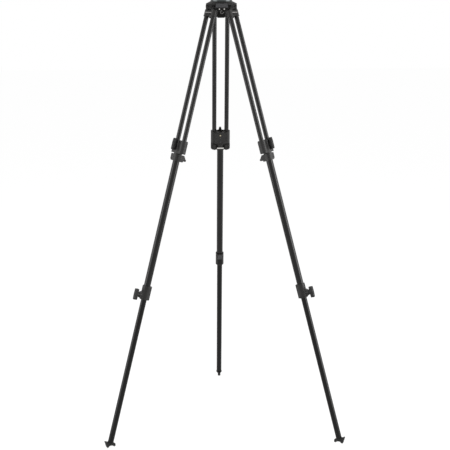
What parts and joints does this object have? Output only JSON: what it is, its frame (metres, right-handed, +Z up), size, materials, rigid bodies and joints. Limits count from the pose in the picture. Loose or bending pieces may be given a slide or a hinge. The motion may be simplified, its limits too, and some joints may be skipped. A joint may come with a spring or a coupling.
{
  "type": "camera tripod",
  "caption": "Twin-tube camera tripod with a ball-levelling bowl, telescopic legs, locking levers, spreader collars and spiked feet.",
  "frame": {"origin": "middle of the bowl's throat bore, on the tripod's upright axis", "axes": "+Z up along the tripod's axis, +Y towards the rear leg, +X to the right; the front legs point to azimuth 210 and 330 degrees"},
  "size_m": [0.9648, 0.8356, 1.7498],
  "materials": {
    "casting": "satin black paint on die-cast alloy",
    "tube_black": "black anodised",
    "bowl_alloy": "machined, grey anodised",
    "plate_grey": "dark grey satin",
    "hook_black": "black oxide",
    "steel": "bright",
    "brass_screw": "bright",
    "nylon": "natural nylon",
    "nylon_black": "black nylon",
    "knob_black": "moulded, fine grain",
    "foot_black": "moulded, fine grain"
  },
  "bodies": {
    "crown": {"crown_body": "casting", "bowl_insert": "bowl_alloy", "hinge_bolts": "steel", "hinge_washers": "nylon_black", "web_plates": "plate_grey", "ballast_hook": "hook_black", "hook_screws": "steel"},
    "rear_upper": {"rear_yoke": "casting", "rear_upper_tubes": "tube_black", "rear_mid_block": "casting", "rear_block_bush": "nylon", "rear_block_screws": "brass_screw", "rear_spreader_collar": "casting", "rear_collar_clip": "steel"},
    "rear_mid_lever": {"rear_mid_knob": "knob_black"},
    "rear_middle": {"rear_middle_tube": "tube_black", "rear_stop_ring": "nylon", "rear_clamp_body": "casting", "rear_clamp_bush": "nylon"},
    "rear_clamp_wing": {"rear_clamp_knob": "knob_black"},
    "rear_lower": {"rear_lower_tube": "tube_black", "rear_guide_sleeve": "nylon", "rear_foot": "foot_black", "rear_spikes": "steel"},
    "left_upper": {"left_yoke": "casting", "left_upper_tubes": "tube_black", "left_mid_block": "casting", "left_block_bush": "nylon", "left_block_screws": "brass_screw", "left_spreader_collar": "casting", "left_collar_clip": "steel"},
    "left_mid_lever": {"left_mid_knob": "knob_black"},
    "left_middle": {"left_middle_tube": "tube_black", "left_stop_ring": "nylon", "left_clamp_body": "casting", "left_clamp_bush": "nylon"},
    "left_clamp_wing": {"left_clamp_knob": "knob_black"},
    "left_lower": {"left_lower_tube": "tube_black", "left_guide_sleeve": "nylon", "left_foot": "foot_black", "left_spikes": "steel"},
    "right_upper": {"right_yoke": "casting", "right_upper_tubes": "tube_black", "right_mid_block": "casting", "right_block_bush": "nylon", "right_block_screws": "brass_screw", "right_spreader_collar": "casting", "right_collar_clip": "steel"},
    "right_mid_lever": {"right_mid_knob": "knob_black"},
    "right_middle": {"right_middle_tube": "tube_black", "right_stop_ring": "nylon", "right_clamp_body": "casting", "right_clamp_bush": "nylon"},
    "right_clamp_wing": {"right_clamp_knob": "knob_black"},
    "right_lower": {"right_lower_tube": "tube_black", "right_guide_sleeve": "nylon", "right_foot": "foot_black", "right_spikes": "steel"}
  },
  "joints": [
    {"name": "rear_leg_spread", "type": "hinge", "parent": "crown", "child": "rear_upper", "pos_m": [0, 0.0435, -0.00219], "axis": [1, 0, 0], "range_deg": [-16, 24]},
    {"name": "rear_middle_slide", "type": "slide", "parent": "rear_upper", "child": "rear_middle", "axis": [0, -0.2756, 0.9613], "range_m": [0, 0.495]},
    {"name": "rear_lower_slide", "type": "slide", "parent": "rear_middle", "child": "rear_lower", "axis": [0, -0.2756, 0.9613], "range_m": [0, 0.53]},
    {"name": "rear_mid_lever_turn", "type": "hinge", "parent": "rear_upper", "child": "rear_mid_lever", "pos_m": [0, 0.22394, -0.52261], "axis": [0, 0.9613, 0.2756], "range_deg": [0, 180]},
    {"name": "rear_clamp_wing_turn", "type": "hinge", "parent": "rear_middle", "child": "rear_clamp_wing", "pos_m": [0, 0.40004, -1.10046], "axis": [0, 0.9613, 0.2756], "range_deg": [0, 270]},
    {"name": "left_leg_spread", "type": "hinge", "parent": "crown", "child": "left_upper", "pos_m": [-0.03767, -0.02175, -0.00219], "axis": [-0.5, 0.866, 0], "range_deg": [-16, 24]},
    {"name": "left_middle_slide", "type": "slide", "parent": "left_upper", "child": "left_middle", "axis": [0.2387, 0.1378, 0.9613], "range_m": [0, 0.495]},
    {"name": "left_lower_slide", "type": "slide", "parent": "left_middle", "child": "left_lower", "axis": [0.2387, 0.1378, 0.9613], "range_m": [0, 0.53]},
    {"name": "left_mid_lever_turn", "type": "hinge", "parent": "left_upper", "child": "left_mid_lever", "pos_m": [-0.19394, -0.11197, -0.52261], "axis": [-0.8325, -0.4806, 0.2756], "range_deg": [0, 180]},
    {"name": "left_clamp_wing_turn", "type": "hinge", "parent": "left_middle", "child": "left_clamp_wing", "pos_m": [-0.34644, -0.20002, -1.10046], "axis": [-0.8325, -0.4806, 0.2756], "range_deg": [0, 270]},
    {"name": "right_leg_spread", "type": "hinge", "parent": "crown", "child": "right_upper", "pos_m": [0.03767, -0.02175, -0.00219], "axis": [-0.5, -0.866, 0], "range_deg": [-16, 24]},
    {"name": "right_middle_slide", "type": "slide", "parent": "right_upper", "child": "right_middle", "axis": [-0.2387, 0.1378, 0.9613], "range_m": [0, 0.495]},
    {"name": "right_lower_slide", "type": "slide", "parent": "right_middle", "child": "right_lower", "axis": [-0.2387, 0.1378, 0.9613], "range_m": [0, 0.53]},
    {"name": "right_mid_lever_turn", "type": "hinge", "parent": "right_upper", "child": "right_mid_lever", "pos_m": [0.19394, -0.11197, -0.52261], "axis": [0.8325, -0.4806, 0.2756], "range_deg": [0, 180]},
    {"name": "right_clamp_wing_turn", "type": "hinge", "parent": "right_middle", "child": "right_clamp_wing", "pos_m": [0.34644, -0.20002, -1.10046], "axis": [0.8325, -0.4806, 0.2756], "range_deg": [0, 270]}
  ]
}
